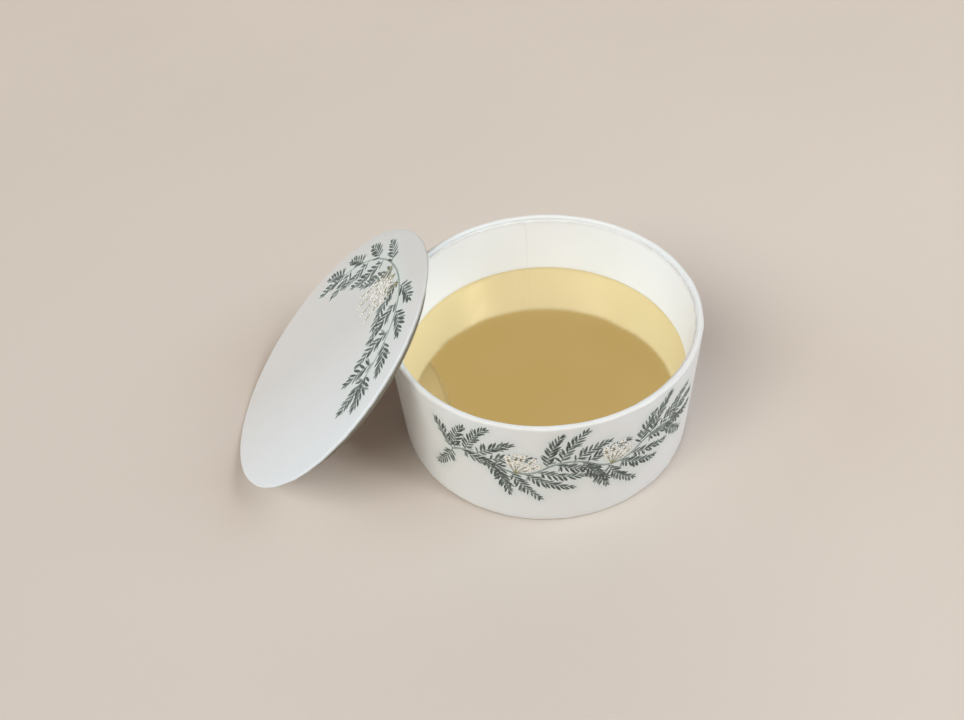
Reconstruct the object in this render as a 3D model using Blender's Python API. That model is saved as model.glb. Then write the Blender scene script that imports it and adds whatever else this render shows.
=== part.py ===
"""Round rigid gift box with a loose plug lid, as separate boards, papers, foil and card.

The box is a greyboard tube on a base disc, covered with pearl paper that is turned in over
the rim and under the base. Inside, a ring carries a gold tray board at half height, and a
white card liner stands on the tray. The lid is a wrapped disc with a wrapped plug below it.
It is off the box: its foot stands on the table and its plug leans on the rim.

Units are metres and +Z is up. The origin is the centre of the underside, on the table.
"""

import math

import bmesh
import bpy

# Overall sizes of the box and lid
BOX_DIAMETER = 0.200
BOX_HEIGHT = 0.0914
LID_INSET = 0.002
TRAY_HEIGHT = 0.0454
LINER_DROP = 0.0027
PLUG_CLEARANCE = 0.003

# Thickness of each sheet
WALL_BOARD = 0.0025
BASE_BOARD = 0.0025
RING_BOARD = 0.0025
TRAY_BOARD = 0.002
LID_BOARD = 0.0012
PLUG_BOARD = 0.0042
PAPER = 0.0003
GOLD_FILM = 0.0003
LINER_CARD = 0.0009
LINER_PRESS = 0.0001
SEAT_GAP = 0.0003

# Softened board edges
RIM_ROUND = 0.0009
FOOT_ROUND = 0.0006
LID_ROUND = 0.0004
PLUG_ROUND = 0.0007

# Paper turned over the edges, with the notches that let it lie flat on a round board
RIM_TURN_IN = 0.016
BASE_TURN_IN = 0.015
LID_TURN_IN = 0.015
PLUG_TURN_IN = 0.012
BASE_MARGIN = 0.0055
NOTCH_COUNT = 40
NOTCH_TIP_INSET = 0.0035
NOTCH_TIP_WIDTH = 0.0006
NOTCH_MOUTH_WIDTH = 0.0022
NOTCH_OVERRUN = 0.002

# Seams of the rolled strips
LINER_SEAM_WIDTH = 0.0004
RING_SEAM_WIDTH = 0.0008
WRAP_LAP_WIDTH = 0.012
WRAP_LAP_STEP = 0.0003
WRAP_LAP_RAMP = 0.004
LINER_SEAM_BEARING = math.radians(96.0)
RING_SEAM_BEARING = math.radians(60.0)
WRAP_SEAM_BEARING = math.radians(102.5)

# The lid's place against the box
LID_LEAN = math.radians(40.0)
LID_BEARING = math.radians(3.5)

# Facets
ROUND_STEPS = 80
SHOWN_ARC_STEPS = 3
HIDDEN_ARC_STEPS = 1
MERGE_DISTANCE = 0.000002
SMOOTH_ANGLE = math.radians(50.0)

# Radii that follow from the sizes above, from the outside inwards
BOX_RADIUS = BOX_DIAMETER / 2
WRAP_INNER_RADIUS = BOX_RADIUS - PAPER
WALL_OUTER_RADIUS = WRAP_INNER_RADIUS - SEAT_GAP
WALL_INNER_RADIUS = WALL_OUTER_RADIUS - WALL_BOARD
TURN_IN_OUTER_RADIUS = WALL_INNER_RADIUS - SEAT_GAP
TURN_IN_INNER_RADIUS = TURN_IN_OUTER_RADIUS - PAPER
LINER_OUTER_RADIUS = TURN_IN_INNER_RADIUS - SEAT_GAP
LINER_INNER_RADIUS = LINER_OUTER_RADIUS - LINER_CARD
LID_RADIUS = BOX_RADIUS - LID_INSET
PLUG_RADIUS = LINER_INNER_RADIUS - PLUG_CLEARANCE

# Levels of the box, from the table upwards
WRAP_FOOT = PAPER + SEAT_GAP
BOARD_FOOT = WRAP_FOOT + PAPER + SEAT_GAP
BASE_TOP = BOARD_FOOT + BASE_BOARD
BOARD_RIM = BOX_HEIGHT - PAPER - SEAT_GAP
FILM_FOOT = TRAY_HEIGHT - GOLD_FILM
LINER_SEAT = TRAY_HEIGHT - LINER_PRESS
TRAY_BOARD_TOP = FILM_FOOT - SEAT_GAP
TRAY_BOARD_FOOT = TRAY_BOARD_TOP - TRAY_BOARD
LINER_RIM = BOX_HEIGHT - LINER_DROP

# Levels of the lid, from the plug's underside upwards along the lid's own axis
PLUG_BOARD_FOOT = PAPER + SEAT_GAP
PLUG_BOARD_TOP = PLUG_BOARD_FOOT + PLUG_BOARD
PLUG_TOP = PLUG_BOARD_TOP + SEAT_GAP + PAPER
LID_FOOT = PLUG_TOP + SEAT_GAP
LID_BOARD_FOOT = LID_FOOT + PAPER + SEAT_GAP
LID_BOARD_TOP = LID_BOARD_FOOT + LID_BOARD
LID_TOP = LID_BOARD_TOP + SEAT_GAP + PAPER

# Colours as linear red, green and blue
GREYBOARD = (0.33, 0.29, 0.24)
PEARL_PAPER = (0.76, 0.77, 0.76)
WHITE_PAPER = (0.80, 0.79, 0.75)
GOLD = (0.62, 0.44, 0.17)


def finish(name, colour, roughness, metallic=0.0):
    """Return a new material with one Principled shader."""
    material = bpy.data.materials.new(name)
    material.use_nodes = True
    shader = material.node_tree.nodes["Principled BSDF"]
    shader.inputs["Base Color"].default_value = (*colour, 1.0)
    shader.inputs["Roughness"].default_value = roughness
    shader.inputs["Metallic"].default_value = metallic
    material.diffuse_color = (*colour, 1.0)
    return material


def corner(centre_radius, centre_height, size, first_quarter, last_quarter, steps):
    """Return points on a corner's arc, where quarter 0 points outwards and 1 points up."""
    turns = [first_quarter + (last_quarter - first_quarter) * k / steps for k in range(steps + 1)]
    return [
        (
            centre_radius + size * math.cos(turn * math.pi / 2),
            centre_height + size * math.sin(turn * math.pi / 2),
        )
        for turn in turns
    ]


def add_object(name, bm, material):
    """Turn a closed bmesh into a shaded object of the scene."""
    bmesh.ops.remove_doubles(bm, verts=bm.verts, dist=MERGE_DISTANCE)
    bmesh.ops.recalc_face_normals(bm, faces=bm.faces)
    mesh = bpy.data.meshes.new(name)
    bm.to_mesh(mesh)
    bm.free()
    mesh.shade_smooth()
    mesh.set_sharp_from_angle(angle=SMOOTH_ANGLE)
    mesh.materials.append(material)
    shaped = bpy.data.objects.new(name, mesh)
    bpy.context.scene.collection.objects.link(shaped)
    return shaped


def turned_bmesh(profile, start=0.0, sweep=math.tau):
    """Spin a profile of (radius, height) points about the vertical axis.

    A profile that starts and ends on the axis becomes a disc. Any other is closed into a
    loop and becomes a ring, or with a sweep under a full turn a strip with two ends.
    """
    bm = bmesh.new()
    cosine, sine = math.cos(start), math.sin(start)
    verts = [bm.verts.new((radius * cosine, radius * sine, height)) for radius, height in profile]
    edges = [bm.edges.new(pair) for pair in zip(verts, verts[1:])]
    on_axis = profile[0][0] == 0 and profile[-1][0] == 0
    full_turn = sweep == math.tau
    if not on_axis:
        edges.append(bm.edges.new((verts[-1], verts[0])))
    section = [] if full_turn else [bm.faces.new(verts)]
    bmesh.ops.spin(
        bm,
        geom=verts + edges + section,
        cent=(0, 0, 0),
        axis=(0, 0, 1),
        angle=sweep,
        steps=ROUND_STEPS,
        use_merge=full_turn,
    )
    return bm


def disc(name, radius, foot, top, material):
    """Make a flat round sheet."""
    profile = [(0, foot), (radius, foot), (radius, top), (0, top)]
    return add_object(name, turned_bmesh(profile), material)


def softened_disc(name, radius, foot, top, edge_round, material):
    """Make a round board whose two edges are softened."""
    inset = radius - edge_round
    profile = [(0, foot)]
    profile += corner(inset, foot + edge_round, edge_round, -1, 0, HIDDEN_ARC_STEPS)
    profile += corner(inset, top - edge_round, edge_round, 0, 1, HIDDEN_ARC_STEPS)
    profile += [(0, top)]
    return add_object(name, turned_bmesh(profile), material)


def rolled_strip(name, inner, outer, foot, top, seam_bearing, seam_width, material):
    """Make a strip rolled into a ring, whose two ends meet at an open butt seam."""
    half_seam = seam_width / 2 / inner
    profile = [(inner, foot), (outer, foot), (outer, top), (inner, top)]
    bm = turned_bmesh(profile, seam_bearing + half_seam, math.tau - 2 * half_seam)
    return add_object(name, bm, material)


def notch_cutter(name, mouth_radius, tip_radius, foot, top):
    """Make the wedges that notch a turned-in margin all the way round."""
    bm = bmesh.new()
    outline = [
        (mouth_radius, -NOTCH_MOUTH_WIDTH / 2, foot),
        (tip_radius, -NOTCH_TIP_WIDTH / 2, foot),
        (tip_radius, NOTCH_TIP_WIDTH / 2, foot),
        (mouth_radius, NOTCH_MOUTH_WIDTH / 2, foot),
    ]
    base = bm.faces.new([bm.verts.new(point) for point in outline])
    raised = bmesh.ops.extrude_face_region(bm, geom=[base])["geom"]
    lifted = [item for item in raised if isinstance(item, bmesh.types.BMVert)]
    bmesh.ops.translate(bm, verts=lifted, vec=(0, 0, top - foot))
    bmesh.ops.spin(
        bm,
        geom=bm.verts[:] + bm.edges[:] + bm.faces[:],
        cent=(0, 0, 0),
        axis=(0, 0, 1),
        angle=math.tau * (NOTCH_COUNT - 1) / NOTCH_COUNT,
        steps=NOTCH_COUNT - 1,
        use_duplicate=True,
    )
    cutter = add_object(name, bm, finish(name, GREYBOARD, 1.0))
    cutter.hide_render = True
    cutter.display_type = "WIRE"
    return cutter


def cut_notches(sheet, cutter):
    """Cut the notches out of a paper's turned-in margin."""
    cut = sheet.modifiers.new("notches", "BOOLEAN")
    cut.operation = "DIFFERENCE"
    cut.solver = "EXACT"
    cut.object = cutter


def lapped_bmesh(profile):
    """Spin the wall paper's profile round, with its outer end lapped over its start.

    The profile is carried round from the lap's edge: up the step, along the lap, down the
    ramp where the paper comes to lie on the board, and then the rest of the way round.
    """
    bm = bmesh.new()
    cosine, sine = math.cos(WRAP_SEAM_BEARING), math.sin(WRAP_SEAM_BEARING)
    ring = [bm.verts.new((radius * cosine, radius * sine, height)) for radius, height in profile]
    ring += [bm.edges.new(pair) for pair in zip(ring, ring[1:] + ring[:1])]
    lap = WRAP_LAP_STEP + WRAP_LAP_WIDTH + WRAP_LAP_RAMP
    rest = math.tau * BOX_RADIUS - lap
    runs = ((WRAP_LAP_STEP, PAPER, 1), (WRAP_LAP_WIDTH, 0, 2), (WRAP_LAP_RAMP, -PAPER, 1))
    for length, rise, steps in runs + ((rest, 0, ROUND_STEPS),):
        ring = bmesh.ops.spin(
            bm,
            geom=ring,
            cent=(0, 0, 0),
            axis=(0, 0, 1),
            angle=length / BOX_RADIUS,
            steps=steps,
        )["geom_last"]
        outer_face = WRAP_INNER_RADIUS + PAPER / 2
        for vert in (item for item in ring if isinstance(item, bmesh.types.BMVert)):
            radius = math.hypot(vert.co.x, vert.co.y)
            if radius > outer_face:
                vert.co.x *= 1 + rise / radius
                vert.co.y *= 1 + rise / radius
    return bm


def make_wall_board(material):
    """Make the greyboard tube of the wall."""
    profile = [(WALL_INNER_RADIUS, BOARD_FOOT)]
    profile += corner(
        WALL_OUTER_RADIUS - FOOT_ROUND, BOARD_FOOT + FOOT_ROUND, FOOT_ROUND, -1, 0, HIDDEN_ARC_STEPS
    )
    profile += corner(
        WALL_OUTER_RADIUS - RIM_ROUND, BOARD_RIM - RIM_ROUND, RIM_ROUND, 0, 1, HIDDEN_ARC_STEPS
    )
    profile += corner(
        WALL_INNER_RADIUS + RIM_ROUND, BOARD_RIM - RIM_ROUND, RIM_ROUND, 1, 2, HIDDEN_ARC_STEPS
    )
    return add_object("wall_board", turned_bmesh(profile), material)


def make_outer_wrap(material):
    """Make the printed paper round the wall, turned in over the rim and under the base."""
    foot_round = FOOT_ROUND + SEAT_GAP
    rim_round = RIM_ROUND + SEAT_GAP
    foot_centre = (WALL_OUTER_RADIUS - FOOT_ROUND, BOARD_FOOT + FOOT_ROUND)
    rim_centre = (WALL_OUTER_RADIUS - RIM_ROUND, BOARD_RIM - RIM_ROUND)
    inner_rim_centre = (WALL_INNER_RADIUS + RIM_ROUND, BOARD_RIM - RIM_ROUND)
    margin_end = BOX_RADIUS - BASE_TURN_IN
    turn_in_end = BOX_HEIGHT - RIM_TURN_IN
    shown = [(margin_end, WRAP_FOOT)]
    shown += corner(*foot_centre, foot_round + PAPER, -1, 0, SHOWN_ARC_STEPS)
    shown += corner(*rim_centre, rim_round + PAPER, 0, 1, SHOWN_ARC_STEPS)
    shown += corner(*inner_rim_centre, rim_round + PAPER, 1, 2, SHOWN_ARC_STEPS)
    shown += [(TURN_IN_INNER_RADIUS, turn_in_end)]
    hidden = [(margin_end, WRAP_FOOT + PAPER)]
    hidden += corner(*foot_centre, foot_round, -1, 0, HIDDEN_ARC_STEPS)
    hidden += corner(*rim_centre, rim_round, 0, 1, HIDDEN_ARC_STEPS)
    hidden += corner(*inner_rim_centre, rim_round, 1, 2, HIDDEN_ARC_STEPS)
    hidden += [(TURN_IN_OUTER_RADIUS, turn_in_end)]
    wrap = add_object("outer_wrap", lapped_bmesh(shown + hidden[::-1]), material)
    cutter = notch_cutter(
        "base_notch_cutter",
        margin_end - NOTCH_OVERRUN,
        BOX_RADIUS - NOTCH_TIP_INSET,
        WRAP_FOOT - PAPER,
        WRAP_FOOT + PAPER + SEAT_GAP / 2,
    )
    cut_notches(wrap, cutter)
    return wrap


def wrapped_disc_profile(radius, foot, top, board_round, turn_in, turned_up):
    """Return the profile of a paper that covers a round board and is turned in behind it.

    The paper covers the board's top and is turned in below it, or with turned_up the
    other way about. The board's own edges have the given rounding.
    """
    outer_round = board_round + SEAT_GAP + PAPER
    inner_round = board_round + SEAT_GAP
    low = foot + outer_round
    high = top - outer_round
    inset = radius - outer_round
    end = radius - turn_in
    outer = [(end, foot)]
    outer += corner(inset, low, outer_round, -1, 0, SHOWN_ARC_STEPS)
    outer += corner(inset, high, outer_round, 0, 1, SHOWN_ARC_STEPS)
    outer += [(0, top)]
    inner = [(end, foot + PAPER)]
    inner += corner(inset, low, inner_round, -1, 0, HIDDEN_ARC_STEPS)
    inner += corner(inset, high, inner_round, 0, 1, HIDDEN_ARC_STEPS)
    inner += [(0, top - PAPER)]
    profile = outer[::-1] + inner
    if turned_up:
        return [(r, foot + top - height) for r, height in profile]
    return profile


def make_gold_foil(material):
    """Make the film on the tray, flat where it shows and pressed down where the liner stands."""
    shown_radius = LINER_INNER_RADIUS - SEAT_GAP
    profile = [(0, FILM_FOOT), (TURN_IN_OUTER_RADIUS, FILM_FOOT)]
    profile += [(TURN_IN_OUTER_RADIUS, LINER_SEAT), (LINER_INNER_RADIUS, LINER_SEAT)]
    profile += [(shown_radius, TRAY_HEIGHT), (0, TRAY_HEIGHT)]
    return add_object("gold_foil", turned_bmesh(profile), material)


def make_lid_wrap(material):
    """Make the printed paper over the lid board, notched where it is turned in below."""
    profile = wrapped_disc_profile(LID_RADIUS, LID_FOOT, LID_TOP, LID_ROUND, LID_TURN_IN, False)
    wrap = add_object("lid_wrap", turned_bmesh(profile), material)
    cutter = notch_cutter(
        "lid_notch_cutter",
        LID_RADIUS - LID_TURN_IN - NOTCH_OVERRUN,
        LID_RADIUS - NOTCH_TIP_INSET,
        LID_FOOT - PAPER,
        LID_FOOT + PAPER + SEAT_GAP / 2,
    )
    cut_notches(wrap, cutter)
    return wrap, cutter


def lid_place():
    """Return the location and turn of the lid's own frame where it leans on the box.

    The lid's X runs up the slope and its Z is the lid's axis. The plug's underside clears
    the rounded rim by the seat gap, and the lower of the lid's edge and the plug's edge
    stands on the table.
    """
    sine, cosine = math.sin(LID_LEAN), math.cos(LID_LEAN)
    rim_round = RIM_ROUND + SEAT_GAP + PAPER
    lid_round = LID_ROUND + SEAT_GAP + PAPER
    plug_round = PLUG_ROUND + SEAT_GAP + PAPER
    plane_offset = (
        sine * (BOX_RADIUS - rim_round) + cosine * (BOX_HEIGHT - rim_round) + rim_round + SEAT_GAP
    )
    lid_edge = (LID_RADIUS - lid_round) * sine - (LID_FOOT + lid_round) * cosine + lid_round
    plug_edge = (PLUG_RADIUS - plug_round) * sine - plug_round * cosine + plug_round
    height = max(lid_edge, plug_edge)
    reach = (cosine * height - plane_offset) / sine
    location = (reach * math.cos(LID_BEARING), reach * math.sin(LID_BEARING), height)
    return location, (0, -LID_LEAN, LID_BEARING)


def build_box():
    """Build the pieces of the box, from the table upwards."""
    board = finish("greyboard", GREYBOARD, 0.9)
    disc(
        "underside_paper",
        BOX_RADIUS - BASE_MARGIN,
        0,
        PAPER,
        finish("underside_white_paper", WHITE_PAPER, 0.7),
    )
    make_outer_wrap(finish("printed_pearl_paper", PEARL_PAPER, 0.42))
    make_wall_board(board)
    base_grey = finish("base_grey", GREYBOARD, 0.9)
    disc("base_board", TURN_IN_OUTER_RADIUS, BOARD_FOOT, BASE_TOP, base_grey)
    rolled_strip(
        "support_ring",
        TURN_IN_OUTER_RADIUS - RING_BOARD,
        TURN_IN_OUTER_RADIUS,
        BASE_TOP + SEAT_GAP,
        TRAY_BOARD_FOOT - SEAT_GAP,
        RING_SEAM_BEARING,
        RING_SEAM_WIDTH,
        finish("ring_grey", GREYBOARD, 0.9),
    )
    disc(
        "tray_board",
        TURN_IN_OUTER_RADIUS,
        TRAY_BOARD_FOOT,
        TRAY_BOARD_TOP,
        finish("tray_grey", GREYBOARD, 0.9),
    )
    make_gold_foil(finish("gold_film", GOLD, 0.16, 1.0))
    rolled_strip(
        "liner_ring",
        LINER_INNER_RADIUS,
        LINER_OUTER_RADIUS,
        LINER_SEAT + SEAT_GAP,
        LINER_RIM,
        LINER_SEAM_BEARING,
        LINER_SEAM_WIDTH,
        finish("white_card", WHITE_PAPER, 0.6),
    )


def build_lid():
    """Build the pieces of the lid in its own frame, and lean that frame on the box."""
    frame = bpy.data.objects.new("lid_axis", None)
    bpy.context.scene.collection.objects.link(frame)
    frame.location, frame.rotation_euler = lid_place()
    wrap, cutter = make_lid_wrap(finish("printed_lid_paper", PEARL_PAPER, 0.42))
    covered = SEAT_GAP + PAPER
    lid_board = softened_disc(
        "lid_board",
        LID_RADIUS - covered,
        LID_BOARD_FOOT,
        LID_BOARD_TOP,
        LID_ROUND,
        finish("lid_grey", GREYBOARD, 0.9),
    )
    plug_board = softened_disc(
        "plug_board",
        PLUG_RADIUS - covered,
        PLUG_BOARD_FOOT,
        PLUG_BOARD_TOP,
        PLUG_ROUND,
        finish("plug_grey", GREYBOARD, 0.9),
    )
    profile = wrapped_disc_profile(PLUG_RADIUS, 0, PLUG_TOP, PLUG_ROUND, PLUG_TURN_IN, True)
    plug_wrap = add_object(
        "plug_wrap", turned_bmesh(profile), finish("plug_white_paper", WHITE_PAPER, 0.6)
    )
    for piece in (wrap, cutter, lid_board, plug_board, plug_wrap):
        piece.parent = frame


def main():
    """Clear the scene and build the box and its lid."""
    for old in list(bpy.data.objects):
        bpy.data.objects.remove(old, do_unlink=True)
    build_box()
    build_lid()


main()
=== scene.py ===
"""Looks of a round gift box: pearl papers, a white card liner, a gold tray and a printed garland.

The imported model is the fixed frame. Each paper, the card and the gold film is made again here
as a fine sheet in its own place, with its folds, laps and notches. A garland of lance leaves
and white blossoms is laid on the wall and on the lid as a thin print.

Units are metres. +Z is up, the box stands on its origin and the front of the box is at -Y.
"""

import bisect
import logging
import math
import random
from collections.abc import Callable, Sequence
from dataclasses import dataclass
from enum import Enum, IntEnum
from functools import cache

import bpy
from mathutils import Matrix, Vector, kdtree


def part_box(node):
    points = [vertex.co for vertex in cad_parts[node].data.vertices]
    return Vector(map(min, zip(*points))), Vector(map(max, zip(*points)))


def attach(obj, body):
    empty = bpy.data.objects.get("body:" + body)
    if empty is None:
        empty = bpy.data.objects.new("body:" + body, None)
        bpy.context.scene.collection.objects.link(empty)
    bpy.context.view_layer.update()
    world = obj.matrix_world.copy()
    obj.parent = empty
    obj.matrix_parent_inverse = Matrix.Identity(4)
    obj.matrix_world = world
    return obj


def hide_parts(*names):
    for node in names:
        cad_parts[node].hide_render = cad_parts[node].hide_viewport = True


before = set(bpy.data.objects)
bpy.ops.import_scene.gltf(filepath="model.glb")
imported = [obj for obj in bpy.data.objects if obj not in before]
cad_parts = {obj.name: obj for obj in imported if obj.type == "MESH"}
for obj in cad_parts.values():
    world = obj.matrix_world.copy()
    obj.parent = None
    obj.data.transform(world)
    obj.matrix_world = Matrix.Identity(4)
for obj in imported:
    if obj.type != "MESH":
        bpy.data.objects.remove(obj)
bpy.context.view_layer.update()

LOG = logging.getLogger("gift_box")
UP = Vector((0, 0, 1))
TURN = math.tau

Point = tuple[float, float]
Profile = list[Point]
Colour = tuple[float, float, float]
Piece = bpy.types.Object
Node = bpy.types.Node
Socket = bpy.types.NodeSocket
Tree = bpy.types.NodeTree


class Body(Enum):
    """The two bodies of the frame that pieces ride on."""

    BOX = "box"
    LID = "lid"


class Slot(Enum):
    """The record's material slots."""

    PEARL = "pearl_paper"
    WHITE = "white_paper"
    CARD = "white_card"
    GOLD = "gold_film"
    BOARD = "greyboard"


# Sizes shared by the sheets

PAPER = 0.0003
GLUE = 0.0003
CARD = 0.0009
ROUND_STEPS = 360
FOLD_STEPS = 6
SMOOTH_ANGLE = math.radians(35)


@dataclass(frozen=True)
class Wander:
    """A smooth closed wave round a piece, as cut board and hand-laid paper have.

    Attributes:
        seed: Seed of the phases.
        size: The most that the wave moves a point.
        counts: How many waves each part of it has in a full turn.
    """

    seed: int
    size: float
    counts: tuple[int, ...]

    @cache
    def phases(self) -> tuple[float, ...]:
        """Return where each part of the wave starts."""
        draws = random.Random(self.seed)
        return tuple(draws.uniform(0, TURN) for _ in self.counts)

    def at(self, bearing: float) -> float:
        """Return how far a point at this bearing is moved."""
        waves = zip(self.counts, self.phases())
        parts = [math.sin(count * bearing + phase) for count, phase in waves]
        return self.size * sum(parts) / len(parts)


@dataclass(frozen=True)
class Notches:
    """The notches that let a paper's margin lie flat on a round board.

    Attributes:
        seed: Seed of the uneven spacing.
        count: How many notches go round.
        uneven_share: How far a notch strays, as a share of the spacing.
        mouth: Width at the paper's end.
        tip: Width at the tip.
    """

    seed: int
    count: int = 40
    uneven_share: float = 0.2
    mouth: float = 0.0022
    tip: float = 0.0003

    @cache
    def bearings(self) -> tuple[float, ...]:
        """Return the bearing of each notch."""
        draws = random.Random(self.seed)
        stray = self.uneven_share
        places = [k + draws.uniform(-stray, stray) for k in range(self.count)]
        return tuple(place * TURN / self.count for place in places)

    def flat(self, bearing: float) -> float:
        """Return how far the tab at this bearing lies inside the full circle, as a share."""
        bearings = self.bearings()
        turn = (bearing - bearings[0]) % TURN
        stops = [stop - bearings[0] for stop in bearings] + [TURN]
        after = bisect.bisect_left(stops, turn, 1)
        half = (stops[after] - stops[after - 1]) / 2
        return 1 - math.cos(half) / math.cos(turn - stops[after - 1] - half)


def smooth_step(value: float) -> float:
    """Return an even ramp from 0 to 1 that starts and ends softly."""
    share = min(max(value, 0.0), 1.0)
    return share * share * (3 - 2 * share)


def near(distance: float, reach: float) -> float:
    """Return 1 at no distance, falling softly to 0 at this reach."""
    return smooth_step(1 - distance / reach)


def around(bearing: float, radius: float, height: float) -> Vector:
    """Return the point at a bearing, radius and height."""
    return Vector((radius * math.cos(bearing), radius * math.sin(bearing), height))


def fold(centre: Point, size: float, first: float, last: float) -> Profile:
    """Return the points of a folded edge on a profile.

    Args:
        centre: Radius and height of the fold's centre.
        size: Radius of the fold.
        first: Quarter turn where the fold starts, 0 outwards and 1 upwards.
        last: Quarter turn where it ends.

    Returns:
        Points as (radius, height).
    """
    quarters = [first + (last - first) * k / FOLD_STEPS for k in range(FOLD_STEPS + 1)]
    turns = [quarter * math.pi / 2 for quarter in quarters]
    return [
        (centre[0] + size * math.cos(turn), centre[1] + size * math.sin(turn)) for turn in turns
    ]


def chain(start: Profile, *rest: int | Profile) -> Profile:
    """Join stretches of a profile by straight runs.

    Args:
        start: The first stretch.
        *rest: For each further stretch, the steps of the run to it and its points.

    Returns:
        The whole profile.
    """
    profile = list(start)
    for steps, stretch in zip(rest[::2], rest[1::2]):
        ends = list(zip(profile[-1], stretch[0]))
        profile += [tuple(a + (b - a) * k / steps for a, b in ends) for k in range(1, steps)]
        profile += stretch
    return profile


# Modelling by hand, one step a function


def deselect() -> None:
    """Leave edit mode and deselect everything."""
    if bpy.context.object and bpy.context.object.mode != "OBJECT":
        bpy.ops.object.mode_set(mode="OBJECT")
    bpy.ops.object.select_all(action="DESELECT")


def pick(piece: Piece) -> None:
    """Select one object and make it the active one."""
    deselect()
    piece.select_set(True)
    bpy.context.view_layer.objects.active = piece


def start_editing(piece: Piece, action: str = "SELECT") -> None:
    """Take one object into edit mode with all of it selected, or deselected."""
    pick(piece)
    bpy.ops.object.mode_set(mode="EDIT")
    bpy.ops.mesh.select_all(action=action)


def turn_outwards() -> None:
    """Turn the faces of the object in edit mode outwards and leave edit mode."""
    bpy.ops.mesh.select_all(action="SELECT")
    bpy.ops.mesh.normals_make_consistent(inside=False)
    bpy.ops.object.mode_set(mode="OBJECT")


def add_primitive(kind: str, name: str, **settings: object) -> Piece:
    """Add a primitive of this kind with these settings, and name it."""
    deselect()
    getattr(bpy.ops.mesh, f"primitive_{kind}_add")(**settings)
    piece = bpy.context.object
    piece.name = piece.data.name = name
    return piece


def link(name: str, data: bpy.types.ID) -> Piece:
    """Make an object of a mesh, lamp or camera and put it in the scene."""
    piece = bpy.data.objects.new(name, data)
    bpy.context.scene.collection.objects.link(piece)
    return piece


def settle(piece: Piece) -> None:
    """Put an object's place into its mesh, so that it sits at the origin."""
    pick(piece)
    bpy.ops.object.transform_apply(location=True, rotation=True, scale=True)


def apply_modifier(piece: Piece, kind: str, **settings: object) -> None:
    """Add a modifier with these settings and apply it."""
    pick(piece)
    modifier = piece.modifiers.new(kind.lower(), kind)
    for name, value in settings.items():
        setattr(modifier, name, value)
    bpy.ops.object.modifier_apply(modifier=modifier.name)


def give_thickness(sheet: Piece, thickness: float, side: float = -1.0) -> None:
    """Give a sheet its thickness, behind its faces at a side of -1 and before them at 1."""
    apply_modifier(sheet, "SOLIDIFY", thickness=thickness, offset=side, use_even_offset=True)


def shade(piece: Piece, angle: float = SMOOTH_ANGLE) -> None:
    """Shade an object smooth, with its true corners sharp."""
    pick(piece)
    bpy.ops.object.shade_smooth_by_angle(angle=angle)


def paint(piece: Piece, name: str, rule: Callable[[Vector], float]) -> None:
    """Store a number at each point of a piece, for its material to read."""
    layer = piece.data.attributes.new(name, "FLOAT", "POINT")
    layer.data.foreach_set("value", [rule(vertex.co) for vertex in piece.data.vertices])


def joined(name: str, pieces: Sequence[Piece]) -> Piece:
    """Join objects into one under a new name."""
    pick(pieces[0])
    for piece in pieces:
        piece.select_set(True)
    bpy.ops.object.join()
    whole = bpy.context.object
    whole.name = whole.data.name = name
    return whole


def draw_sheet(name: str, profile: Profile) -> Piece:
    """Draw a round sheet out of a circle, ring by ring along its profile.

    Args:
        name: The piece's name.
        profile: Points as (radius, height). A last radius of zero closes the sheet there.

    Returns:
        The open sheet.
    """
    radius, height = profile[0]
    place = (0, 0, height)
    sheet = add_primitive("circle", name, vertices=ROUND_STEPS, radius=radius, location=place)
    start_editing(sheet)
    for next_radius, next_height in profile[1:]:
        rise = (0, 0, next_height - height)
        bpy.ops.mesh.extrude_region_move(TRANSFORM_OT_translate={"value": rise})
        if next_radius == 0:
            bpy.ops.mesh.merge(type="CENTER")
        else:
            scale = next_radius / radius
            centre = (0, 0, next_height)
            bpy.ops.transform.resize(value=(scale, scale, 1), center_override=centre)
        radius, height = next_radius, next_height
    turn_outwards()
    settle(sheet)
    return sheet


def close_below(sheet: Piece) -> None:
    """Close the open ring of a sheet with a flat face and turn the faces outwards."""
    start_editing(sheet, "DESELECT")
    bpy.ops.mesh.select_non_manifold()
    bpy.ops.mesh.edge_face_add()
    turn_outwards()


def press(sheet: Piece, rule: Callable[[float, float, float], Point]) -> None:
    """Move each point of a round sheet in or out and up or down.

    Args:
        sheet: The piece.
        rule: Takes bearing, radius and height, and returns the new radius and height.
    """
    for vertex in sheet.data.vertices:
        bearing = math.atan2(vertex.co.y, vertex.co.x)
        vertex.co = around(bearing, *rule(bearing, math.hypot(*vertex.co.xy), vertex.co.z))


def cut_notches(
    sheet: Piece, notches: Notches, radius: float, margin: float, edge: float, foot: float
) -> None:
    """Cut the notches out of a sheet's margin.

    Args:
        sheet: The piece.
        notches: Their number, spacing and widths.
        radius: The sheet's outer radius.
        margin: Width of its margin.
        edge: Width of the folded edge that the notches stop at.
        foot: Height of the margin's lower face.
    """
    mouth_radius = radius - margin * 1.1
    length = radius - edge - mouth_radius
    centre = mouth_radius + length / 2
    wedge = add_primitive("cube", "wedge", size=1, location=(centre, 0, foot + PAPER / 2))
    wedge.scale = (length, notches.mouth, PAPER * 2.4)
    settle(wedge)
    for vertex in wedge.data.vertices:
        if vertex.co.x > centre:
            vertex.co.y *= notches.tip / notches.mouth
    wedges = []
    for bearing in notches.bearings():
        wedges.append(link("wedge", wedge.data.copy()))
        wedges[-1].data.transform(Matrix.Rotation(bearing, 4, "Z"))
    bpy.data.objects.remove(wedge, do_unlink=True)
    cutter = joined("wedges", wedges)
    apply_modifier(sheet, "BOOLEAN", operation="DIFFERENCE", solver="EXACT", object=cutter)
    bpy.data.objects.remove(cutter, do_unlink=True)


# Shader building


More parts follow.
